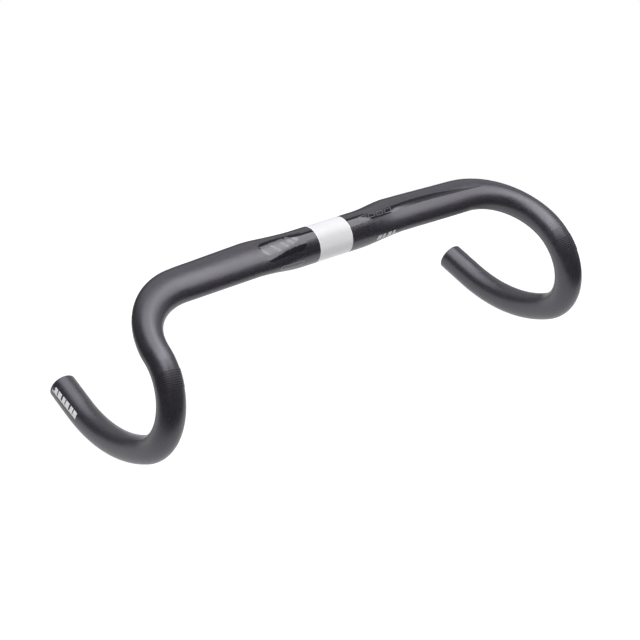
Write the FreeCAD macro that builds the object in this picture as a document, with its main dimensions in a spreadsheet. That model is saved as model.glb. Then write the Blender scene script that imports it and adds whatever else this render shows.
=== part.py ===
import FreeCAD, Part
import math
import os
import Sketcher

# Road drop handlebar in carbon composite, 420 mm wide, as an assembly of named pieces.
# Sizes are in millimetres and degrees. +X is the rider's left, -Y is forward, +Z is up, and the
# origin is the centre of the round zone that the stem clamps. The bar ends are level.

os.makedirs("parts", exist_ok=True)
doc = FreeCAD.newDocument("handlebar")
Vec = FreeCAD.Vector

SIZES = [
    ("bar_width", 420.0),
    ("clamp_diameter", 31.8),
    ("clamp_length", 64.0),
    ("tube_wall", 1.9),
    ("top_depth_inner", 37.0),
    ("top_depth_outer", 35.0),
    ("top_height", 22.0),
    ("top_blend_length", 40.0),
    ("top_setback", 4.5),
    ("top_setback_length", 48.0),
    ("top_sweep", 2.0),
    ("top_sweep_share", 0.45),
    ("shoulder_radius", 61.0),
    ("shoulder_blend_margin", 10.0),
    ("ramp_toe_out", 4.5),
    ("grip_diameter", 23.8),
    ("hook_flare", 5.5),
    ("hook_entry_radius", 45.0),
    ("hook_entry_angle", 13.0),
    ("hook_radius", 46.0),
    ("hook_angle", 115.5),
    ("hook_exit_radius", 132.0),
    ("hook_exit_angle", 44.5),
    ("bar_end_length", 28.0),
    ("bar_end_chamfer", 0.5),
    ("sleeve_wall", 1.4),
    ("ferrule_wall", 1.2),
    ("ferrule_glue_line", 0.05),
    ("ferrule_reach", 9.0),
    ("band_width", 35.0),
    ("band_thickness", 0.4),
    ("film_depth", 0.2),
    ("badge_length", 41.0),
    ("badge_width", 20.0),
    ("badge_corner", 6.0),
    ("badge_middle", -50.5),
    ("badge_lean", 11.0),
    ("badge_neck_width", 8.3),
    ("strip_end", 171.0),
    ("strip_lean", 13.0),
    ("front_mark_length", 24.0),
    ("front_mark_height", 4.2),
    ("front_mark_line", 0.7),
    ("right_mark_middle", -46.5),
    ("left_mark_middle", 57.0),
    ("end_mark_length", 38.0),
    ("end_mark_height", 4.8),
    ("end_mark_rise", 3.6),
    ("end_mark_setback", 3.0),
    ("end_mark_rail", 0.8),
    ("end_mark_thickness", 0.12),
    ("scale_start", 9.0),
    ("scale_span", 16.0),
    ("scale_half_wrap", 65.0),
    ("scale_film", 0.1),
    ("scale_rib", 0.26),
    ("scale_rib_width", 0.9),
]
RIB_COUNT = 9
END_MARK_BLOCKS = 6
FRONT_MARK_BLOCKS = 4

sheet = doc.addObject("Spreadsheet::Sheet", "sizes")
for row, (alias, value) in enumerate(SIZES, start=1):
    sheet.set("A%d" % row, alias)
    sheet.set("B%d" % row, "%g" % value)
    sheet.setAlias("B%d" % row, alias)
doc.recompute()


def size(alias):
    return float(sheet.get(alias))


CLAMP_HALF = size("clamp_length") / 2
CLAMP_R = size("clamp_diameter") / 2
GRIP_R = size("grip_diameter") / 2
WALL = size("tube_wall")
SIDES = (("right", -1.0), ("left", 1.0))


# ---------------------------------------------------------------- the bar's path

def smooth(share):
    """0 to 1 with no slope at either end."""
    share = min(max(share, 0.0), 1.0)
    return share * share * (3 - 2 * share)


def turned(frame, axis, degrees):
    turn = FreeCAD.Rotation(axis, degrees)
    return [turn.multVec(v) for v in frame]


def along_arc(start, frame, axis, radius, degrees):
    """The point and frame after a bend about axis, which is square to the frame's first vector."""
    centre = start + axis.cross(frame[0]) * radius
    arm = FreeCAD.Rotation(axis, degrees).multVec(start - centre)
    return centre + arm, turned(frame, axis, degrees)


def ramp_direction():
    """Forward along the ramp, toed out a little, and down by what levels the bar ends."""
    dive = 180.0 - size("hook_entry_angle") - size("hook_angle") - size("hook_exit_angle")
    dive = math.radians(dive)
    toe = math.radians(size("ramp_toe_out"))
    return Vec(math.sin(toe) * math.cos(dive), -math.cos(toe) * math.cos(dive), -math.sin(dive))


def top_path():
    """Stations of the left half from the clamp to the drop, and where and how its bend turns.

    A station is (arc length, point, [forward along the tube, back, up])."""
    frame = [Vec(1, 0, 0), Vec(0, 1, 0), Vec(0, 0, 1)]
    point = Vec(CLAMP_HALF, 0, 0)
    stations = [(0.0, point, frame)]
    free = size("bar_width") / 2 - size("shoulder_radius") - CLAMP_HALF
    sweep = size("top_sweep")
    arc_length = free * size("top_sweep_share")
    arc_radius = arc_length / math.radians(sweep)
    steps = 13
    for i in range(1, steps + 1):
        share = i / steps
        bent, turned_frame = along_arc(point, frame, Vec(0, 0, -1), arc_radius, sweep * share)
        stations.append((arc_length * share, bent, turned_frame))
    run, point, frame = stations[-1]
    # the shoulder bend turns the tube from the top's direction to the ramp's
    ramp = ramp_direction()
    axis = frame[0].cross(ramp)
    axis.normalize()
    turn = math.degrees(frame[0].getAngle(ramp))
    radius = size("shoulder_radius")
    corner, _ = along_arc(Vec(0, 0, 0), frame, axis, radius, turn)
    straight = (size("bar_width") / 2 - corner.x - point.x) / frame[0].x
    for share in (0.25, 0.5, 0.75, 1.0):
        stations.append((run + straight * share, point + frame[0] * straight * share, frame))
    run, point, frame = stations[-1]
    bend_start = run
    steps = 18
    for i in range(1, steps + 1):
        bent, turned_frame = along_arc(point, frame, axis, radius, turn * i / steps)
        run = bend_start + math.radians(turn) * radius * i / steps
        stations.append((run, bent, turned_frame))
    # the tops sit a little nearer the rider than the clamp
    setback = size("top_setback")
    placed = []
    for run, point, frame in stations:
        shift = setback * smooth((point.x - CLAMP_HALF) / size("top_setback_length"))
        if run > bend_start:
            shift = setback
        placed.append((run, point + Vec(0, shift, 0), frame))
    return placed, bend_start, axis


PATH, BEND_START, SHOULDER_AXIS = top_path()
PATH_LENGTH = PATH[-1][0]


def half_sizes(run):
    """Half the section's depth (fore and aft) and half its height at an arc length."""
    blend = size("top_blend_length")
    margin = size("shoulder_blend_margin")
    half_height = size("top_height") / 2
    inner = size("top_depth_inner") / 2
    outer = size("top_depth_outer") / 2
    shoulder = BEND_START - margin
    if run < blend:
        share = smooth(run / blend)
        return CLAMP_R + (inner - CLAMP_R) * share, CLAMP_R + (half_height - CLAMP_R) * share
    if run < shoulder:
        share = (run - blend) / (shoulder - blend)
        return inner + (outer - inner) * share, half_height
    share = smooth((run - shoulder) / (PATH_LENGTH - margin - shoulder))
    return outer + (GRIP_R - outer) * share, half_height + (GRIP_R - half_height) * share


UNIT_CIRCLE = Part.Circle(Vec(0, 0, 0), Vec(0, 0, 1), 1.0).toBSpline()


def top_surface(inset):
    """The left top and shoulder's surface, moved in by inset: an exact ellipse at every station."""
    runs = [run for run, point, frame in PATH]
    rows = []
    weights = []
    for corner, weight in zip(UNIT_CIRCLE.getPoles(), UNIT_CIRCLE.getWeights()):
        line = []
        for run, point, frame in PATH:
            half_depth, half_height = half_sizes(run)
            back = frame[1] * (half_depth - inset) * corner.x
            up = frame[2] * (half_height - inset) * corner.y
            line.append(point + back + up)
        last = PATH[-1][2][0] + SHOULDER_AXIS.cross(line[-1] - PATH[-1][1]) / size("shoulder_radius")
        rail = Part.BSplineCurve()
        rail.interpolate(
            Points=line, Parameters=runs, InitialTangent=Vec(1, 0, 0), FinalTangent=last, Scale=False
        )
        rows.append(rail.getPoles())
        weights.append([weight] * len(rows[0]))
    surface = Part.BSplineSurface()
    surface.buildFromPolesMultsKnots(
        rows,
        UNIT_CIRCLE.getMultiplicities(),
        rail.getMultiplicities(),
        UNIT_CIRCLE.getKnots(),
        rail.getKnots(),
        UNIT_CIRCLE.isPeriodic(),
        False,
        UNIT_CIRCLE.Degree,
        rail.Degree,
        weights,
    )
    return surface


def top_solid(inset):
    """The left top and shoulder as one solid, its surface moved in by inset."""
    side = top_surface(inset).toShape()
    ends = []
    for edge in side.Edges:
        if edge.isClosed() and not edge.isSeam(side):
            ends.append(Part.Face(Part.Wire([edge])))
    shell = Part.makeCompound([side] + ends)
    shell.sewShape(0.0001)
    return Part.Solid(shell.Shells[0])


def bar_top_layer(depth):
    """The outermost depth of the bar as three pieces: right top, clamp zone, left top."""
    left = top_solid(0.0).cut(top_solid(depth)).Solids[0]
    right = left.mirror(Vec(0, 0, 0), Vec(1, 0, 0))
    start = Vec(-CLAMP_HALF, 0, 0)
    clamp = Part.makeCylinder(CLAMP_R, 2 * CLAMP_HALF, start, Vec(1, 0, 0))
    clamp = clamp.cut(Part.makeCylinder(CLAMP_R - depth, 2 * CLAMP_HALF, start, Vec(1, 0, 0)))
    return [right, clamp, left]


# ---------------------------------------------------------------- frames of the two drops

def joint_placement(side):
    """Where a drop starts: local +X runs along the ramp and local +Y is down the hook's plane."""
    run, point, frame = PATH[-1]
    forward = frame[0]
    splay = math.radians(size("hook_flare"))
    down = Vec(math.sin(splay), 0, -math.cos(splay))
    down = down - forward * down.dot(forward)
    down.normalize()
    forward = Vec(side * forward.x, forward.y, forward.z)
    down = Vec(side * down.x, down.y, down.z)
    across = forward.cross(down)
    turn = FreeCAD.Rotation(forward, down, across, "XYZ")
    return FreeCAD.Placement(Vec(side * point.x, point.y, point.z), turn)


def hook_points():
    """Arc centres and start directions of the hook in its own plane, then the bar end's start."""
    point = Vec(0, 0, 0)
    heading = 0.0
    arcs = []
    for name in ("hook_entry", "hook", "hook_exit"):
        radius = size(name + "_radius")
        angle = size(name + "_angle")
        inward = Vec(-math.sin(math.radians(heading)), math.cos(math.radians(heading)), 0)
        centre = point + inward * radius
        arcs.append((centre, radius, heading - 90.0, heading - 90.0 + angle))
        heading = heading + angle
        end = math.radians(heading - 90.0)
        point = centre + Vec(math.cos(end), math.sin(end), 0) * radius
    return arcs, point, heading


ARCS, END_START, END_HEADING = hook_points()
END_DIRECTION = Vec(math.cos(math.radians(END_HEADING)), math.sin(math.radians(END_HEADING)), 0)


# ---------------------------------------------------------------- small helpers

def feature(name, shape, placement=None):
    item = doc.addObject("Part::Feature", name)
    item.Label = name
    item.Shape = shape
    if placement is not None:
        item.Placement = placement
    return item


def whole(shape):
    """A boolean's result as one clean solid."""
    shape = shape.removeSplitter()
    if len(shape.Solids) != 1:
        raise ValueError("expected one solid, got %d" % len(shape.Solids))
    return shape.Solids[0]


def polygon(points):
    return Part.Face(Part.makePolygon(list(points) + [points[0]]))


def facing(lean):
    """A plane over the bar's top: sketch x along the bar, sketch y up towards the rider's side.

    lean is how far its outward normal leans forward from straight up."""
    outward = Vec(0, -math.sin(math.radians(lean)), math.cos(math.radians(lean)))
    along = Vec(1, 0, 0)
    across = outward.cross(along)
    return FreeCAD.Placement(Vec(0, 0, 0), FreeCAD.Rotation(along, across, outward, "XYZ"))


def raised(face, lean):
    """A flat outline stood up as a prism that passes out through the bar's near wall."""
    prism = face.extrude(Vec(0, 0, 24))
    prism.translate(Vec(0, 0, 3))
    prism.Placement = facing(lean).multiply(prism.Placement)
    return prism


def rounded_rectangle(length, width, corner, middle):
    """A flat face centred on (middle, 0)."""
    half_l = length / 2
    half_w = width / 2
    edges = []
    corners = ((1, 1, 0), (-1, 1, 90), (-1, -1, 180), (1, -1, 270))
    for sx, sy, first in corners:
        centre = Vec(middle + sx * (half_l - corner), sy * (half_w - corner), 0)
        arc = Part.makeCircle(corner, centre, Vec(0, 0, 1), first, first + 90)
        edges.append(arc)
    lines = []
    for i in range(4):
        a = edges[i].valueAt(edges[i].LastParameter)
        b = edges[(i + 1) % 4].valueAt(edges[(i + 1) % 4].FirstParameter)
        lines.append(Part.makeLine(a, b))
    loop = []
    for i in range(4):
        loop.append(edges[i])
        loop.append(lines[i])
    return Part.Face(Part.Wire(loop))


# ---------------------------------------------------------------- centre section and its films

skin = bar_top_layer(size("film_depth"))
tube_pieces = bar_top_layer(WALL)
hollow = tube_pieces[1].fuse([tube_pieces[0], tube_pieces[2]])


def inlaid(face, lean):
    """The part of the bar's skin under a flat outline."""
    prism = raised(face, lean)
    found = []
    for piece in skin:
        if piece.BoundBox.intersect(prism.BoundBox):
            cut = piece.common(prism)
            if cut.Solids:
                found.append(cut.Solids[0])
    if len(found) == 1:
        return found[0]
    return whole(found[0].fuse(found[1:]))


# gloss panel with round corners beside the clamp, on the rider's right, and its neck to the band
badge_face = rounded_rectangle(
    size("badge_length"), size("badge_width"), size("badge_corner"), size("badge_middle")
)
band_edge = size("band_width") / 2
half_neck = size("badge_neck_width") / 2
neck_face = polygon([
    Vec(size("badge_middle"), -half_neck, 0),
    Vec(-band_edge, -half_neck, 0),
    Vec(-band_edge, half_neck, 0),
    Vec(size("badge_middle"), half_neck, 0),
])
badge_face = badge_face.fuse(neck_face).removeSplitter().Faces[0]
badge = inlaid(badge_face, size("badge_lean"))

# gloss blade along the left top, from beside the band to a point at the shoulder
strip_top = [
    Vec(band_edge, 4.6, 0), Vec(45, 5.1, 0), Vec(70, 6.5, 0),
    Vec(98, 7.4, 0), Vec(125, 5.5, 0), Vec(150, 1.5, 0),
]
strip_low = [
    Vec(band_edge, -3.9, 0), Vec(40, -2.9, 0), Vec(67, -0.3, 0),
    Vec(92, 1.3, 0), Vec(120, 0.6, 0), Vec(150, -1.1, 0),
]
strip_tip = Vec(size("strip_end"), -2.2, 0)
half_tip = Vec(0, 0.15, 0)
upper = Part.BSplineCurve()
upper.interpolate(Points=strip_top + [strip_tip + half_tip])
lower = Part.BSplineCurve()
lower.interpolate(Points=strip_low + [strip_tip - half_tip])
strip_wire = Part.Wire([
    upper.toShape(),
    Part.makeLine(strip_tip + half_tip, strip_tip - half_tip),
    lower.toShape(),
    Part.makeLine(strip_low[0], strip_top[0]),
])
strip = inlaid(Part.Face(strip_wire), size("strip_lean"))

# low on the front: a gloss outline on the right, slanted white blocks on the left
mark_l = size("front_mark_length")
mark_h = size("front_mark_height")
mark_line = size("front_mark_line")
mark_x = size("right_mark_middle")
frame_face = rounded_rectangle(mark_l, mark_h, 1.6, mark_x)
frame_hole = rounded_rectangle(mark_l - 2 * mark_line, mark_h - 2 * mark_line, 0.9, mark_x)
outline = inlaid(frame_face.cut(frame_hole).Faces[0], 90.0)

mark_x = size("left_mark_middle")
low = -mark_h / 2
high = mark_h / 2
blocks = [polygon([
    Vec(mark_x - mark_l / 2, low, 0),
    Vec(mark_x + mark_l / 2 - 1.5, low, 0),
    Vec(mark_x + mark_l / 2 - 1.5, low + mark_line, 0),
    Vec(mark_x - mark_l / 2, low + mark_line, 0),
])]
pitch = (mark_l - 1.5) / FRONT_MARK_BLOCKS
for i in range(FRONT_MARK_BLOCKS):
    x = mark_x - mark_l / 2 + pitch * i
    wide = pitch * (0.72 if i % 2 == 0 else 0.45)
    blocks.append(polygon([
        Vec(x, low, 0), Vec(x + wide, low, 0), Vec(x + wide + 1.5, high, 0), Vec(x + 1.5, high, 0),
    ]))
blocks_face = blocks[0].multiFuse(blocks[1:]).removeSplitter().Faces[0]
block_row = inlaid(blocks_face, 90.0)

band_room = Part.makeCylinder(CLAMP_R, size("band_width"), Vec(-band_edge, 0, 0), Vec(1, 0, 0))
band_core = Part.makeCylinder(
    CLAMP_R - size("band_thickness"), size("band_width"), Vec(-band_edge, 0, 0), Vec(1, 0, 0)
)
band_room = band_room.cut(band_core)
tube = whole(hollow.cut([band_room, badge, strip, outline, block_row]))
centre_section = feature("centre_section", tube)
right_badge_transfer = feature("right_badge_transfer", badge)
left_strip_transfer = feature("left_strip_transfer", strip)
right_front_mark = feature("right_front_mark", outline)
left_front_mark = feature("left_front_mark", block_row)


# ---------------------------------------------------------------- rings on the clamp axis

def ring_body(name, outer, inner, length):
    """A plain ring on the X axis, centred. outer, inner and length are sheet expressions."""
    body = doc.addObject("PartDesign::Body", name)
    body.Label = name
    sketch = body.newObject("Sketcher::SketchObject", name + "_section")
    plane = [o for o in body.Origin.OriginFeatures if o.Role == "YZ_Plane"][0]
    sketch.AttachmentSupport = [(plane, "")]
    sketch.MapMode = "FlatFace"
    for radius in (10.0, 8.0):
        sketch.addGeometry(Part.Circle(Vec(0, 0, 0), Vec(0, 0, 1), radius), False)
    for index, rule in enumerate((outer, inner)):
        sketch.addConstraint(Sketcher.Constraint("Coincident", index, 3, -1, 1))
        number = sketch.addConstraint(Sketcher.Constraint("Radius", index, 10.0 - 2 * index))
        sketch.setExpression("Constraints[%d]" % number, rule)
    pad = body.newObject("PartDesign::Pad", name + "_pad")
    pad.Profile = sketch
    pad.Midplane = True
    pad.setExpression("Length", length)
    body.Tip = pad
    return body


centre_band = ring_body(
    "centre_band",
    "sizes.clamp_diameter / 2",
    "sizes.clamp_diameter / 2 - sizes.band_thickness",
    "sizes.band_width",
)
clamp_reinforcement = ring_body(
    "clamp_reinforcement",
    "sizes.clamp_diameter / 2 - sizes.tube_wall",
    "sizes.clamp_diameter / 2 - sizes.tube_wall - sizes.sleeve_wall",
    "sizes.clamp_length",
)


# ---------------------------------------------------------------- drops

def origin_plane(body, role):
    return [o for o in body.Origin.OriginFeatures if o.Role == role][0]


def drop_body(name, side):
    """Hook and bar end: a ring section piped along tangent arcs and a straight end."""
    body = doc.addObject("PartDesign::Body", name)
    body.Label = name
    spine = body.newObject("Sketcher::SketchObject", name + "_spine")
    spine.AttachmentSupport = [(origin_plane(body, "XY_Plane"), "")]
    spine.MapMode = "FlatFace"
    for centre, radius, first, last in ARCS:
        circle = Part.Circle(centre, Vec(0, 0, 1), radius)
        arc = Part.ArcOfCircle(circle, math.radians(first), math.radians(last))
        spine.addGeometry(arc, False)
    end = END_START + END_DIRECTION * size("bar_end_length")
    spine.addGeometry(Part.LineSegment(END_START, end), False)
    spine.addConstraint(Sketcher.Constraint("Coincident", 0, 1, -1, 1))
    spine.addConstraint(Sketcher.Constraint("PointOnObject", 0, 3, -2))
    for index in range(3):
        spine.addConstraint(Sketcher.Constraint("Tangent", index, 2, index + 1, 1))
    for index, rule in enumerate(("hook_entry", "hook", "hook_exit")):
        centre, radius, first, last = ARCS[index]
        number = spine.addConstraint(Sketcher.Constraint("Radius", index, radius))
        spine.setExpression("Constraints[%d]" % number, "sizes.%s_radius" % rule)
        span = math.radians(last - first)
        number = spine.addConstraint(Sketcher.Constraint("Angle", index, span))
        spine.setExpression("Constraints[%d]" % number, "sizes.%s_angle * 1 deg" % rule)
    number = spine.addConstraint(Sketcher.Constraint("Distance", 3, size("bar_end_length")))
    spine.setExpression("Constraints[%d]" % number, "sizes.bar_end_length")
    section = body.newObject("Sketcher::SketchObject", name + "_section")
    section.AttachmentSupport = [(origin_plane(body, "YZ_Plane"), "")]
    section.MapMode = "FlatFace"
    rules = ("sizes.grip_diameter / 2", "sizes.grip_diameter / 2 - sizes.tube_wall")
    for index, rule in enumerate(rules):
        radius = GRIP_R - WALL * index
        section.addGeometry(Part.Circle(Vec(0, 0, 0), Vec(0, 0, 1), radius), False)
        section.addConstraint(Sketcher.Constraint("Coincident", index, 3, -1, 1))
        number = section.addConstraint(Sketcher.Constraint("Radius", index, radius))
        section.setExpression("Constraints[%d]" % number, rule)
    pipe = body.newObject("PartDesign::AdditivePipe", name + "_pipe")
    pipe.Profile = section
    pipe.Spine = (spine, ["Edge1", "Edge2", "Edge3", "Edge4"])
    doc.recompute()
    rims = []
    for number, edge in enumerate(pipe.Shape.Edges, start=1):
        low, high = edge.ParameterRange
        middle = edge.valueAt((low + high) / 2)
        if (middle - end).Length < GRIP_R + 0.1 and hasattr(edge.Curve, "Radius"):
            if edge.Curve.Radius > GRIP_R - 0.1:
                rims.append("Edge%d" % number)
    chamfer = body.newObject("PartDesign::Chamfer", name + "_chamfer")
    chamfer.Base = (pipe, rims)
    chamfer.setExpression("Size", "sizes.bar_end_chamfer")
    pipe.Visibility = False
    body.Tip = chamfer
    body.Placement = joint_placement(side)
    return body


for side_name, side in SIDES:
    drop_body(side_name + "_drop", side)


# ---------------------------------------------------------------- bond sleeves inside the joints

def ring_face(outer, inner, placement):
    """A flat ring square to the placement's local X."""
    disc = Part.Face(Part.Wire(Part.makeCircle(outer, Vec(0, 0, 0), Vec(1, 0, 0))))
    hole = Part.Face(Part.Wire(Part.makeCircle(inner, Vec(0, 0, 0), Vec(1, 0, 0))))
    ring = disc.cut(hole).Faces[0]
    ring.Placement = placement
    return ring


def hook_ring(outer, inner, index, first, last):
    """A ring section swept along part of one hook arc, in the drop's own frame."""
    centre, radius, arc_first, arc_last = ARCS[index]
    angle = math.radians(arc_first + first)
    start = centre + Vec(math.cos(angle), math.sin(angle), 0) * radius
    turn = FreeCAD.Rotation(Vec(0, 0, 1), arc_first + first + 90.0)
    face = ring_face(outer, inner, FreeCAD.Placement(start, turn))
    return face.revolve(centre, Vec(0, 0, 1), last - first)


def ferrule_shape(side):
    """Follows the last of the shoulder bend and the first of the hook."""
    outer = GRIP_R - WALL - size("ferrule_glue_line")
    inner = outer - size("ferrule_wall")
    reach = size("ferrule_reach")
    joint = joint_placement(1.0)
    radius = size("shoulder_radius")
    back = math.degrees(reach / radius)
    run, point, frame = PATH[-1]
    centre = point + SHOULDER_AXIS.cross(frame[0]) * radius
    ring = ring_face(outer, inner, joint)
    bend = ring.revolve(centre, SHOULDER_AXIS * -1, back)
    hook = hook_ring(outer, inner, 0, 0.0, math.degrees(reach / size("hook_entry_radius")))
    hook.Placement = joint
    shape = whole(bend.fuse(hook))
    if side < 0:
        shape = shape.mirror(Vec(0, 0, 0), Vec(1, 0, 0))
    return shape


for side_name, side in SIDES:
    feature(side_name + "_joint_ferrule", ferrule_shape(side))


# ---------------------------------------------------------------- films on the drops

def lever_scale_shape():
    """A ribbed film on the front of the hook, where the brake lever's clamp goes."""
    wrap = size("scale_half_wrap")
    base = GRIP_R + size("scale_film")
    tall = base + size("scale_rib")
    centre, radius, arc_first, arc_last = ARCS[1]

    def patch(outer, first, last):
        """Part of a thin torus shell round the outside of the hook."""
        angle = arc_first + first
        arms = []
        for r, a in ((GRIP_R, -wrap), (outer, -wrap), (outer, wrap), (GRIP_R, wrap)):
            a = math.radians(a)
            arms.append(Vec(radius + r * math.cos(a), 0, r * math.sin(a)))
        inner_mid = Vec(radius + GRIP_R, 0, 0)
        outer_mid = Vec(radius + outer, 0, 0)
        loop = Part.Wire([
            Part.makeLine(arms[0], arms[1]),
            Part.Arc(arms[1], outer_mid, arms[2]).toShape(),
            Part.makeLine(arms[2], arms[3]),
            Part.Arc(arms[3], inner_mid, arms[0]).toShape(),
        ])
        piece = Part.Face(loop)
        piece.rotate(Vec(0, 0, 0), Vec(0, 0, 1), angle)
        piece.translate(centre)
        return piece.revolve(centre, Vec(0, 0, 1), last - first)

    start = size("scale_start")
    span = size("scale_span")
    rib = math.degrees(size("scale_rib_width") / (radius + GRIP_R))
    pieces = []
    for i in range(RIB_COUNT):
        first = start + (span - rib) * i / (RIB_COUNT - 1)
        pieces.append(patch(tall, first, first + rib))
    return whole(patch(base, start, start + span).multiFuse(pieces))


def end_mark_shape(side):
    """Slanted blocks on a rail, on the outer face of the bar end."""
    thick = size("end_mark_thickness")
    outer = GRIP_R + thick
    length = size("bar_end_length")
    turn = FreeCAD.Rotation(Vec(0, 0, 1), END_HEADING)
    straight_ring = Part.makeCylinder(outer, length, Vec(0, 0, 0), Vec(1, 0, 0))
    straight_ring = straight_ring.cut(Part.makeCylinder(GRIP_R, length, Vec(0, 0, 0), Vec(1, 0, 0)))
    straight_ring.Placement = FreeCAD.Placement(END_START, turn)
    exit_angle = size("hook_exit_angle")
    curved = hook_ring(outer, GRIP_R, 2, exit_angle - 15.0, exit_angle)
    film = straight_ring.fuse(curved).removeSplitter()
    # the outline is drawn back from the tip, above the middle, its rail on the lower edge
    mark_l = size("end_mark_length")
    mark_h = size("end_mark_height")
    rail = size("end_mark_rail")
    tip = length - size("end_mark_setback")
    low = size("end_mark_rise") - mark_h / 2
    high = low + mark_h
    faces = [polygon([
        Vec(tip - mark_l, low, 0), Vec(tip, low, 0),
        Vec(tip, low + rail, 0), Vec(tip - mark_l, low + rail, 0),
    ])]
    pitch = (mark_l - 1.5) / END_MARK_BLOCKS
    for i in range(END_MARK_BLOCKS):
        x = tip - mark_l + pitch * i
        wide = pitch * (0.80 if i % 2 == 0 else 0.66)
        faces.append(polygon([
            Vec(x, low, 0), Vec(x + wide, low, 0),
            Vec(x + wide + 1.4, high, 0), Vec(x + 1.4, high, 0),
        ]))
    face = faces[0].multiFuse(faces[1:]).removeSplitter().Faces[0]
    prism = face.extrude(Vec(0, 0, side * 20.0))
    lean = FreeCAD.Rotation(Vec(0, 0, 1), END_HEADING - 2.0)
    prism.Placement = FreeCAD.Placement(END_START, lean)
    return whole(film.common(prism))


for side_name, side in SIDES:
    joint = joint_placement(side)
    feature(side_name + "_end_mark", end_mark_shape(side), joint)
    feature(side_name + "_lever_scale", lever_scale_shape(), joint)


# ---------------------------------------------------------------- check and write

NODES = [
    "centre_section", "centre_band", "clamp_reinforcement",
    "right_drop", "left_drop", "right_joint_ferrule", "left_joint_ferrule",
    "right_badge_transfer", "left_strip_transfer", "right_front_mark", "left_front_mark",
    "right_end_mark", "left_end_mark", "right_lever_scale", "left_lever_scale",
]

doc.recompute()
for item in doc.Objects:
    if "Invalid" in item.State or "Error" in item.State:
        raise RuntimeError("%s did not build: %s" % (item.Label, item.State))
for name in NODES:
    node = doc.getObjectsByLabel(name)[0]
    if node.Shape.isNull() or not node.Shape.isValid():
        raise RuntimeError("%s has a bad shape" % name)
    node.Shape.exportStep("parts/%s.step" % name)
    box = node.Shape.BoundBox
    print(name, "solids", len(node.Shape.Solids), "volume %.1f" % node.Shape.Volume,
          "x %.1f..%.1f y %.1f..%.1f z %.1f..%.1f" % (
              box.XMin, box.XMax, box.YMin, box.YMax, box.ZMin, box.ZMax))
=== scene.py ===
import bpy
import math
from mathutils import Matrix, Vector


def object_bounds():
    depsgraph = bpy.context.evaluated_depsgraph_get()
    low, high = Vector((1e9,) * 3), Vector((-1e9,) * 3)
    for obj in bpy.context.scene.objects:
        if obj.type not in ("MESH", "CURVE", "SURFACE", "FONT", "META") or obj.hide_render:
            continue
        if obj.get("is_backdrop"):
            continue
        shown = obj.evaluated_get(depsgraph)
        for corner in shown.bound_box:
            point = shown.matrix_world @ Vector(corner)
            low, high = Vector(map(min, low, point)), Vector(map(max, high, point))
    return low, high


# Lengths are in metres in the object's own frame: +X is the rider's left, -Y is forward and +Z is up.
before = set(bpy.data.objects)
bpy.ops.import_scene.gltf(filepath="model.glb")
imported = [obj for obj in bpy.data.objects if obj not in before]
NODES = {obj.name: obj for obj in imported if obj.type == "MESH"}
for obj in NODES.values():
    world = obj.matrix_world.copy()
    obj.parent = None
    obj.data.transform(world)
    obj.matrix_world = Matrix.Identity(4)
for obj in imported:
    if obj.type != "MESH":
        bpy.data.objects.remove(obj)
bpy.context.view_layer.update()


# ---------------------------------------------------------------- node helpers

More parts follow.
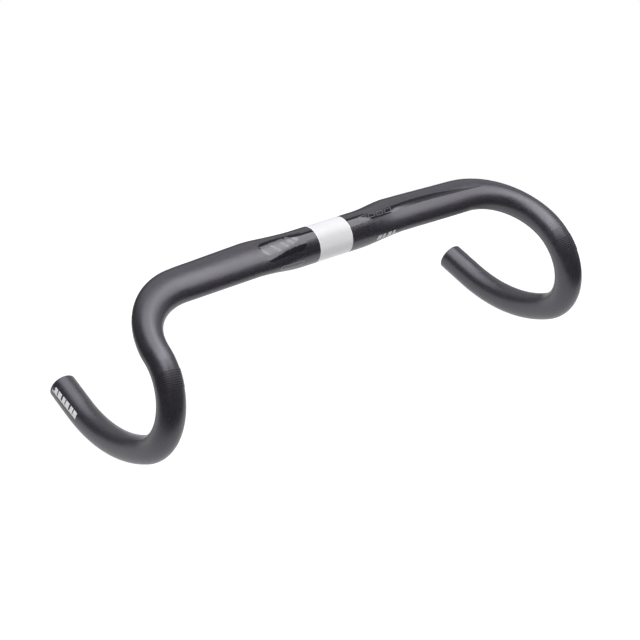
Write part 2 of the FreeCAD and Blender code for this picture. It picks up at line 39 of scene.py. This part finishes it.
class Graph:
    """A material's or world's node tree, with short calls for the nodes used here.

    A value fed to a node is a number, a colour or another node's output."""

    def __init__(self, owner):
        owner.use_nodes = True
        self.tree = owner.node_tree
        self.tree.nodes.clear()

    def add(self, kind, **settings):
        node = self.tree.nodes.new(kind)
        for key, value in settings.items():
            setattr(node, key, value)
        return node

    def feed(self, socket, value):
        """Link an output to the socket, or set the socket to a number or colour."""
        if isinstance(value, bpy.types.NodeSocket):
            self.tree.links.new(value, socket)
        else:
            socket.default_value = value

    def place(self):
        """Positions in metres in the object's own frame."""
        return self.add("ShaderNodeTexCoord").outputs["Object"]

    def axes(self, vector):
        """The vector's X, Y and Z."""
        node = self.add("ShaderNodeSeparateXYZ")
        self.feed(node.inputs[0], vector)
        return node.outputs

    def calc(self, operation, a, b=0.0, clamp=False):
        node = self.add("ShaderNodeMath", operation=operation, use_clamp=clamp)
        self.feed(node.inputs[0], a)
        self.feed(node.inputs[1], b)
        return node.outputs[0]

    def vector_calc(self, operation, vector, fixed, output="Vector"):
        """A vector operation with a vector that is the same everywhere."""
        node = self.add("ShaderNodeVectorMath", operation=operation)
        self.feed(node.inputs[0], vector)
        node.inputs[1].default_value = fixed
        return node.outputs[output]

    def along(self, vector, direction):
        """The distance along a direction."""
        return self.vector_calc("DOT_PRODUCT", vector, direction, "Value")

    def noise(self, vector, scale, detail=2.0, rough=0.5):
        node = self.add("ShaderNodeTexNoise")
        self.feed(node.inputs["Vector"], vector)
        node.inputs["Scale"].default_value = scale
        node.inputs["Detail"].default_value = detail
        node.inputs["Roughness"].default_value = rough
        return node.outputs["Fac"]

    def remap(self, value, start, end, low, high, smooth=False):
        """Low up to start, high from end, and a straight or smooth ramp between them."""
        node = self.add("ShaderNodeMapRange")
        if smooth:
            node.interpolation_type = "SMOOTHSTEP"
        self.feed(node.inputs["Value"], value)
        node.inputs["From Min"].default_value = start
        node.inputs["From Max"].default_value = end
        node.inputs["To Min"].default_value = low
        node.inputs["To Max"].default_value = high
        return node.outputs["Result"]

    def window(self, value, start, end, soft):
        """1 between start and end, and 0 outside."""
        rise = self.remap(value, start - soft, start + soft, 0.0, 1.0)
        fall = self.remap(value, end - soft, end + soft, 1.0, 0.0)
        return self.calc("MULTIPLY", rise, fall)

    def blend(self, share, a, b):
        """From colour a at share 0 to colour b at share 1."""
        return self.mix(share, a, b, "RGBA")

    def mix(self, share, a, b, kind="FLOAT"):
        """From a at share 0 to b at share 1."""
        node = self.add("ShaderNodeMix", data_type=kind)
        self.feed(node.inputs["Factor"], share)
        self.feed(node.inputs["A"], a)
        self.feed(node.inputs["B"], b)
        return node.outputs["Result"]

    def bump(self, height, strength, distance, under=None):
        """A normal from a height, laid over another bump's normal where one is given."""
        node = self.add("ShaderNodeBump")
        node.inputs["Strength"].default_value = strength
        node.inputs["Distance"].default_value = distance
        self.feed(node.inputs["Height"], height)
        if under is not None:
            self.feed(node.inputs["Normal"], under)
        return node.outputs["Normal"]

    def surface(self, colour, roughness, normal=None, **fixed):
        """The finished shader. Other inputs that are the same everywhere go in by name."""
        shader = self.add("ShaderNodeBsdfPrincipled")
        self.feed(shader.inputs["Base Color"], colour)
        self.feed(shader.inputs["Roughness"], roughness)
        if normal is not None:
            self.feed(shader.inputs["Normal"], normal)
        for key, value in fixed.items():
            shader.inputs[key.replace("_", " ")].default_value = value
        out = self.add("ShaderNodeOutputMaterial")
        self.tree.links.new(shader.outputs[0], out.inputs["Surface"])
        return shader


def material(name):
    """A new material and its empty graph."""
    paint = bpy.data.materials.new(name)
    return paint, Graph(paint)


# ---------------------------------------------------------------- materials

# the matte paint's darkest and palest specks, the tint of its sheen and how strong that is
PAINT_DARK = (0.0165, 0.0150, 0.0205, 1)
PAINT_PALE = (0.0345, 0.0315, 0.0410, 1)
PAINT_SHEEN = (0.935, 0.92, 1.0, 1)
PAINT_SPECULAR = 0.9
PAINT_GRAIN = 2600.0

# half the band's width, and where the gloss of the clamp zone starts and stops fading outwards
BAND_EDGE = 0.0175
CLAMP_ZONE = 0.040
CLAMP_ZONE_END = 0.085

# a bar end's direction, back and inward, and how far along it the sawn rim starts and fades in
END_BACK = 0.9978
END_INWARD = 0.0667
END_RIM = 0.0246
RIM_WIDTH = 0.001
# only the bar ends lie this low
END_HEIGHT = -0.105


def carbon_matte():
    """Fine matte paint over laminate, glossier round the clamp, rubbed at the cut ends."""
    paint, g = material("carbon_matte")
    place = g.place()
    x, y, z = g.axes(place)
    grain = g.noise(place, PAINT_GRAIN, 2.0, 0.6)
    peel = g.noise(place, 420.0, 1.0, 0.5)
    cloud = g.noise(place, 26.0, 3.0, 0.55)
    fleck = g.noise(place, 640.0, 1.0, 0.7)
    speck = g.calc("ADD", g.calc("MULTIPLY", grain, 0.3), g.calc("MULTIPLY", fleck, 0.7))
    colour = g.blend(g.remap(speck, 0.38, 0.62, 0.0, 1.0), PAINT_DARK, PAINT_PALE)
    colour = g.blend(g.remap(cloud, 0.3, 0.7, 0.0, 0.35), colour, (0.0222, 0.0205, 0.0270, 1))
    reach = g.calc("ABSOLUTE", x)
    clamp = g.remap(reach, CLAMP_ZONE, CLAMP_ZONE_END, 1.0, 0.0, smooth=True)
    rough = g.calc("ADD", g.mix(clamp, 0.355, 0.29), g.remap(grain, 0.3, 0.7, -0.03, 0.05))
    rough = g.calc("ADD", rough, g.remap(cloud, 0.3, 0.7, -0.02, 0.02))
    rough = g.calc("ADD", rough, g.remap(fleck, 0.35, 0.65, -0.05, 0.05))
    # a dark line where the paint stops at the band
    joint = g.window(reach, BAND_EDGE - 0.0001, BAND_EDGE + 0.00035, 0.0001)
    colour = g.blend(g.calc("MULTIPLY", joint, 0.8), colour, (0.006, 0.006, 0.006, 1))
    # the sawn rim of each bar end
    run = g.calc("SUBTRACT", g.calc("MULTIPLY", y, END_BACK), g.calc("MULTIPLY", reach, END_INWARD))
    rim = g.remap(run, END_RIM, END_RIM + RIM_WIDTH, 0.0, 1.0, smooth=True)
    rim = g.calc("MULTIPLY", rim, g.remap(z, END_HEIGHT + 0.001, END_HEIGHT - 0.001, 0.0, 1.0))
    rub = g.calc("MULTIPLY", rim, g.remap(peel, 0.35, 0.6, 0.2, 1.0))
    colour = g.blend(rub, colour, (0.055, 0.053, 0.056, 1))
    rough = g.mix(rub, rough, 0.62)
    height = g.calc("ADD", g.calc("ADD", grain, g.calc("MULTIPLY", peel, 0.5)), fleck)
    normal = g.bump(height, 0.26, 0.00012)
    g.surface(colour, rough, normal, Specular_IOR_Level=PAINT_SPECULAR, Specular_Tint=PAINT_SHEEN)
    return paint


def carbon_raw():
    """Bare laminate on the inner tubes, with soft folds in the resin."""
    paint, g = material("carbon_raw")
    place = g.place()
    fold = g.noise(place, 160.0, 3.0, 0.6)
    grain = g.noise(place, 1500.0, 2.0, 0.6)
    colour = g.blend(fold, (0.012, 0.012, 0.013, 1), (0.03, 0.03, 0.031, 1))
    normal = g.bump(fold, 0.5, 0.0004, g.bump(grain, 0.3, 0.0001))
    g.surface(colour, g.remap(fold, 0.3, 0.7, 0.5, 0.8), normal)
    return paint


# the band's painted shade ramps in between these heights: whiter below, greyer over the top
BAND_SHADE_START = 0.006
BAND_SHADE_FULL = 0.0155


def band_white():
    """White lacquer with painted shade, greyer over the top than underneath, and a glossy bead along
    each edge.
    """
    paint, g = material("band_white")
    place = g.place()
    x, _, z = g.axes(place)
    cloud = g.noise(place, 40.0, 3.0, 0.5)
    grain = g.noise(place, 1800.0, 2.0, 0.5)
    spread = g.remap(cloud, 0.3, 0.7, 0.0, 1.0)
    # painted shade: the same white is greyer over the top and whiter underneath
    low = g.blend(spread, (0.92, 0.92, 0.95, 1), (0.95, 0.95, 0.97, 1))
    top = g.blend(spread, (0.57, 0.57, 0.59, 1), (0.61, 0.61, 0.63, 1))
    colour = g.blend(g.remap(z, BAND_SHADE_START, BAND_SHADE_FULL, 0.0, 1.0, smooth=True), low, top)
    reach = g.calc("ABSOLUTE", x)
    bead = g.remap(reach, BAND_EDGE - 0.0006, BAND_EDGE - 0.0003, 0.0, 1.0, smooth=True)
    colour = g.blend(bead, colour, (0.93, 0.93, 0.95, 1))
    rough = g.mix(bead, g.remap(grain, 0.3, 0.7, 0.33, 0.42), 0.2)
    g.surface(colour, rough, g.bump(grain, 0.08, 0.0001))
    return paint


# the right panel's bars: from where to where along their skewed axis, and across it
BARS = ((-0.0665, -0.0590), (-0.0565, -0.0508), (-0.0483, -0.0443), (-0.0418, -0.0394))
BAR_SKEW = (1.0, 0.59, 0.11)
BAR_ACROSS = (0.0, 0.982, 0.191)
BARS_ACROSS = (-0.0056, 0.0066)
BAR_SOFT = 0.00012
# the left strip's blocks: across the strip, where the first starts and the last ends, and the pitch
BLOCK_ACROSS = (-0.069, 0.974, 0.225)
BLOCK_SHIFT = 0.0013
BLOCK_SLANT = 0.5
BLOCKS_START = 0.0305
BLOCKS_END = 0.0720
BLOCK_PITCH = 0.0104
BLOCK_SOFT = 0.00008
# half a block's height outside and inside its outline, and where both start and end in a pitch
OUTER_HALF = 0.0021
OUTER_SPAN = (0.02, 0.80)
INNER_HALF = 0.00165
INNER_SPAN = (0.07, 0.75)
# the film lies on top of the bar, and the front mark, in paler grey, lies lower than this
FILM_LOW = 0.006
FRONT_MARK_TOP = 0.004
HEIGHT_SOFT = 0.0005
# from where to where along the left strip its gloss turns to satin
SATIN_START = 0.072
SATIN_FULL = 0.100


def slanted_bars(g, place, z):
    """1 on the right panel's four bars, each narrower than the last."""
    skew = g.along(place, BAR_SKEW)
    across = g.along(place, BAR_ACROSS)
    bars = 0.0
    for start, end in BARS:
        bars = g.calc("ADD", bars, g.window(skew, start, end, BAR_SOFT))
    bars = g.calc("MULTIPLY", bars, g.window(across, *BARS_ACROSS, BAR_SOFT))
    return g.calc("MULTIPLY", bars, g.remap(z, FILM_LOW, FILM_LOW + HEIGHT_SOFT, 0.0, 1.0))


def block_outlines(g, place, x):
    """1 on the outlines of the four slanted blocks that follow the left strip."""
    over = g.calc("ADD", g.along(place, BLOCK_ACROSS), BLOCK_SHIFT)
    course = g.calc("SUBTRACT", x, g.calc("MULTIPLY", over, BLOCK_SLANT))
    step = g.calc("SUBTRACT", course, BLOCKS_START)
    step = g.calc("FRACT", g.calc("MULTIPLY", step, 1 / BLOCK_PITCH))
    outer = g.window(over, -OUTER_HALF, OUTER_HALF, BLOCK_SOFT)
    outer = g.calc("MULTIPLY", outer, g.window(step, *OUTER_SPAN, 0.01))
    inner = g.window(over, -INNER_HALF, INNER_HALF, BLOCK_SOFT)
    inner = g.calc("MULTIPLY", inner, g.window(step, *INNER_SPAN, 0.01))
    lines = g.calc("SUBTRACT", outer, inner, clamp=True)
    return g.calc("MULTIPLY", lines, g.window(course, BLOCKS_START, BLOCKS_END, 0.0001))


def gloss_black():
    """Clear gloss film; satin slanted bars on the right panel, thin hollow blocks on the left."""
    paint, g = material("gloss_black")
    place = g.place()
    x, _, z = g.axes(place)
    bars = slanted_bars(g, place, z)
    lines = block_outlines(g, place, x)
    flat = g.calc("ADD", bars, lines, clamp=True)
    flow = g.noise(place, 160.0, 1.0, 0.4)
    # scratches along the bar
    stretched = g.vector_calc("MULTIPLY", place, (0.12, 1.0, 1.0))
    scratch = g.noise(stretched, 2600.0, 2.0, 0.6)
    colour = g.blend(flow, (0.0080, 0.0076, 0.0105, 1), (0.0126, 0.0120, 0.0165, 1))
    mark = g.remap(z, FRONT_MARK_TOP, FRONT_MARK_TOP + HEIGHT_SOFT, 1.0, 0.0)
    colour = g.blend(mark, colour, (0.20, 0.19, 0.22, 1))
    colour = g.blend(bars, colour, (0.046, 0.043, 0.049, 1))
    colour = g.blend(lines, colour, (0.110, 0.105, 0.125, 1))
    # glossy near the clamp; the strip turns satin and deep black further out
    satin = g.remap(x, SATIN_START, SATIN_FULL, 0.0, 1.0, smooth=True)
    gloss_rough = g.mix(flat, g.remap(scratch, 0.3, 0.75, 0.09, 0.16), 0.33)
    rough = g.mix(satin, gloss_rough, g.remap(scratch, 0.3, 0.75, 0.22, 0.30))
    normal = g.bump(g.calc("ADD", g.calc("MULTIPLY", flow, 0.3), flat), 0.12, 0.0001)
    shader = g.surface(colour, rough, normal, Specular_IOR_Level=0.8, Coat_Roughness=0.05)
    coat = g.calc("MULTIPLY", g.remap(flat, 0.0, 1.0, 0.25, 0.0), g.calc("SUBTRACT", 1.0, satin))
    g.feed(shader.inputs["Coat Weight"], coat)
    g.feed(shader.inputs["Specular Tint"], g.blend(satin, PAINT_SHEEN, (0.28, 0.27, 0.30, 1)))
    return paint


def white_ink():
    """Printed white with a faint grain, for the bar-end scales and the left front mark."""
    paint, g = material("white_ink")
    grain = g.noise(g.place(), 2400.0, 2.0, 0.6)
    colour = g.blend(g.remap(grain, 0.35, 0.7, 0, 1), (0.84, 0.84, 0.86, 1), (0.74, 0.74, 0.76, 1))
    g.surface(colour, g.remap(grain, 0.3, 0.7, 0.36, 0.5), g.bump(grain, 0.12, 0.0001))
    return paint


# the left hook's middle and its radius out to the front of the tube
HOOK_MIDDLE = (0.213961, -0.048437, -0.052033)
HOOK_FRONT_R = 0.0579
# how far the hook's plane toes out, dives and leans outward
HOOK_TOE = math.radians(4.5)
HOOK_DIVE = math.radians(7.0)
HOOK_LEAN = math.radians(5.529)
# the ribs: how many, how wide, and where round the hook they start and how far they reach
RIB_COUNT = 9
RIB_TURN = 0.0009 / HOOK_FRONT_R
RIBS_START = math.radians(-68.0)
RIBS_TURN = math.radians(16.0)
RIB_PITCH = (RIBS_TURN - RIB_TURN) / (RIB_COUNT - 1)


def hook_axes():
    """The directions in the left hook's plane: forward along the ramp, and down square to it."""
    toe = Matrix.Rotation(HOOK_TOE, 3, "Z")
    forward = toe @ Vector((0, -math.cos(HOOK_DIVE), -math.sin(HOOK_DIVE)))
    upright = toe @ Vector((0, math.sin(HOOK_DIVE), -math.cos(HOOK_DIVE)))
    down = upright * math.cos(HOOK_LEAN) + toe @ Vector((math.sin(HOOK_LEAN), 0, 0))
    return forward, down


def rib_valleys(g, x, y, z):
    """1 between the lever ribs, 0 on them, on both hooks: where painted shade darkens the valleys."""
    mirrored = g.add("ShaderNodeCombineXYZ")
    g.feed(mirrored.inputs["X"], g.calc("ABSOLUTE", x))
    g.feed(mirrored.inputs["Y"], y)
    g.feed(mirrored.inputs["Z"], z)
    arm = g.vector_calc("SUBTRACT", mirrored.outputs[0], HOOK_MIDDLE)
    forward, down = hook_axes()
    turn = g.calc("ARCTAN2", g.along(arm, down), g.along(arm, forward))
    turn = g.calc("SUBTRACT", turn, RIBS_START)
    phase = g.calc("FRACT", g.calc("MULTIPLY", turn, 1 / RIB_PITCH))
    return g.window(phase, RIB_TURN / RIB_PITCH + 0.03, 0.97, 0.03)


def lever_grip():
    """The tube's paint over fine ribs: rubbed smooth on each rib, and dull between them, where painted
    shade darkens the valleys.
    """
    paint, g = material("lever_grip")
    place = g.place()
    shaded_valley = rib_valleys(g, *g.axes(place))
    grain = g.noise(place, PAINT_GRAIN, 2.0, 0.6)
    patch = g.noise(place, 240.0, 3.0, 0.6)
    colour = g.blend(grain, (0.0200, 0.0180, 0.0245, 1), PAINT_PALE)
    rubbed = g.calc("SUBTRACT", 1.0, shaded_valley)
    rubbed = g.calc("MULTIPLY", rubbed, g.remap(patch, 0.4, 0.7, 0.2, 0.8))
    colour = g.blend(rubbed, colour, (0.050, 0.046, 0.055, 1))
    # painted shade: the valleys between the ribs are darkened
    colour = g.blend(shaded_valley, colour, (0.014, 0.013, 0.017, 1))
    rough = g.remap(grain, 0.3, 0.7, 0.33, 0.43)
    rough = g.calc("ADD", rough, g.remap(patch, 0.3, 0.7, -0.02, 0.04))
    rough = g.mix(shaded_valley, rough, 0.46)
    normal = g.bump(grain, 0.25, 0.0001)
    shader = g.surface(colour, rough, normal, Specular_IOR_Level=PAINT_SPECULAR)
    # painted shade: the valleys' reflection is dimmed as well
    g.feed(shader.inputs["Specular Tint"], g.blend(shaded_valley, PAINT_SHEEN, (0.66, 0.65, 0.70, 1)))
    return paint


# ---------------------------------------------------------------- which piece shows which material

WEARS = {
    carbon_matte: ("centre_section", "right_drop", "left_drop"),
    carbon_raw: ("clamp_reinforcement", "right_joint_ferrule", "left_joint_ferrule"),
    band_white: ("centre_band",),
    gloss_black: ("right_badge_transfer", "left_strip_transfer", "right_front_mark"),
    white_ink: ("left_front_mark", "right_end_mark", "left_end_mark"),
    lever_grip: ("right_lever_scale", "left_lever_scale"),
}
for make_paint, node_names in WEARS.items():
    paint = make_paint()
    for node_name in node_names:
        slots = NODES[node_name].data.materials
        slots.clear()
        slots.append(paint)


# ---------------------------------------------------------------- stage, light and camera

# the floor is an ellipse under the bar: its middle and its half sizes
FLOOR_MIDDLE = (0.02, -0.12)
FLOOR_HALF = (0.43, 0.30)
FLOOR_CORNERS = 96

# how bright the pale wall and the rest of the room are
WALL_LIGHT = 0.62
ROOM_LIGHT = 0.10
# the level direction from the camera past the object to the wall, and, in parts of a unit vector,
# where the wall fades in towards that heading, where it fades out upwards, and where the floor ends it
WALL_HEADING = (0.746, 0.666)
WALL_SIDE = (0.15, 0.8)
WALL_TOP = (0.41, 0.53)
WALL_FOOT = (-0.05, 0.0)

CAMERA_PLACE = (-1.30165, -1.18253, 1.37856)
CAMERA_FORWARD = (0.57339, 0.51181, -0.63974)
CAMERA_UP = (0.26387, 0.62388, 0.73562)
# in millimetres, as Blender wants them
CAMERA_LENS = 149.927
CAMERA_SENSOR = 36.0


def floor():
    """A white floor under the bar. It glows, because the photograph shows no shadow on it."""
    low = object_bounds()[0].z
    middle_x, middle_y = FLOOR_MIDDLE
    half_x, half_y = FLOOR_HALF
    turns = [2 * math.pi * i / FLOOR_CORNERS for i in range(FLOOR_CORNERS)]
    rim = [(middle_x + half_x * math.cos(t), middle_y + half_y * math.sin(t), low) for t in turns]
    mesh = bpy.data.meshes.new("floor")
    mesh.from_pydata(rim, [], [tuple(range(FLOOR_CORNERS))])
    thing = bpy.data.objects.new("floor", mesh)
    bpy.context.scene.collection.objects.link(thing)
    thing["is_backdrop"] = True
    paper, g = material("floor_paper")
    white = (1, 1, 1, 1)
    g.surface((0.10, 0.10, 0.10, 1), 0.9, Emission_Color=white, Emission_Strength=1.0)
    mesh.materials.append(paper)


def heading(azimuth, height):
    """The unit vector at an azimuth from +X towards +Y and a height over the horizon, in degrees."""
    turn = math.radians(azimuth)
    rise = math.radians(height)
    return Vector((math.cos(turn) * math.cos(rise), math.sin(turn) * math.cos(rise), math.sin(rise)))


def round_box(name, direction, distance, half_angle, radiance):
    """A round diffuser facing the object, sized by the half angle that it spans from there."""
    lamp = bpy.data.lights.new(name, "AREA")
    lamp.shape = "DISK"
    radius = distance * math.tan(math.radians(half_angle))
    lamp.size = 2 * radius
    # a flat lamp's power is its radiance times pi times its area
    lamp.energy = radiance * math.pi * math.pi * radius * radius
    thing = bpy.data.objects.new(name, lamp)
    turn = direction.to_track_quat("Z", "Y").to_matrix().to_4x4()
    thing.matrix_world = Matrix.Translation(direction * distance) @ turn
    thing.visible_camera = False
    bpy.context.scene.collection.objects.link(thing)


def surroundings():
    """A dark room with a pale wall behind the object. Straight into the camera, all is white."""
    world = bpy.data.worlds.new("studio")
    bpy.context.scene.world = world
    g = Graph(world)
    x, y, z = g.axes(g.add("ShaderNodeTexCoord").outputs["Generated"])
    wall_x, wall_y = WALL_HEADING
    away = g.calc("ADD", g.calc("MULTIPLY", x, wall_x), g.calc("MULTIPLY", y, wall_y))
    behind = g.remap(away, *WALL_SIDE, 0.0, WALL_LIGHT, smooth=True)
    low = g.remap(z, *WALL_TOP, 1.0, 0.0, smooth=True)
    over_floor = g.remap(z, *WALL_FOOT, 0.0, 1.0, smooth=True)
    wall = g.calc("MULTIPLY", g.calc("MULTIPLY", behind, low), over_floor)
    wall = g.calc("MAXIMUM", wall, ROOM_LIGHT)
    camera_ray = g.add("ShaderNodeLightPath").outputs["Is Camera Ray"]
    back = g.add("ShaderNodeBackground")
    g.feed(back.inputs["Strength"], g.mix(camera_ray, wall, 1.0))
    back.inputs["Color"].default_value = (1, 1, 1, 1)
    out = g.add("ShaderNodeOutputWorld")
    g.tree.links.new(back.outputs[0], out.inputs["Surface"])


def camera():
    """The photograph's viewpoint."""
    forward = Vector(CAMERA_FORWARD).normalized()
    up = Vector(CAMERA_UP)
    up = (up - forward * up.dot(forward)).normalized()
    right = forward.cross(up)
    lens = bpy.data.cameras.new("camera")
    lens.sensor_width = CAMERA_SENSOR
    lens.lens = CAMERA_LENS
    thing = bpy.data.objects.new("camera", lens)
    turn = Matrix((right, up, -forward)).transposed().to_4x4()
    thing.matrix_world = Matrix.Translation(CAMERA_PLACE) @ turn
    bpy.context.scene.collection.objects.link(thing)
    bpy.context.scene.camera = thing


floor()
surroundings()
round_box("left_front", heading(9.0, 63.5), distance=1.5, half_angle=25.5, radiance=2.8)
round_box("left_back", heading(107.0, 69.0), distance=1.6, half_angle=34.0, radiance=2.5)
round_box("right", heading(-170.0, 70.0), distance=1.7, half_angle=20.0, radiance=2.1)
camera()
bpy.context.scene.view_settings.view_transform = "Standard"
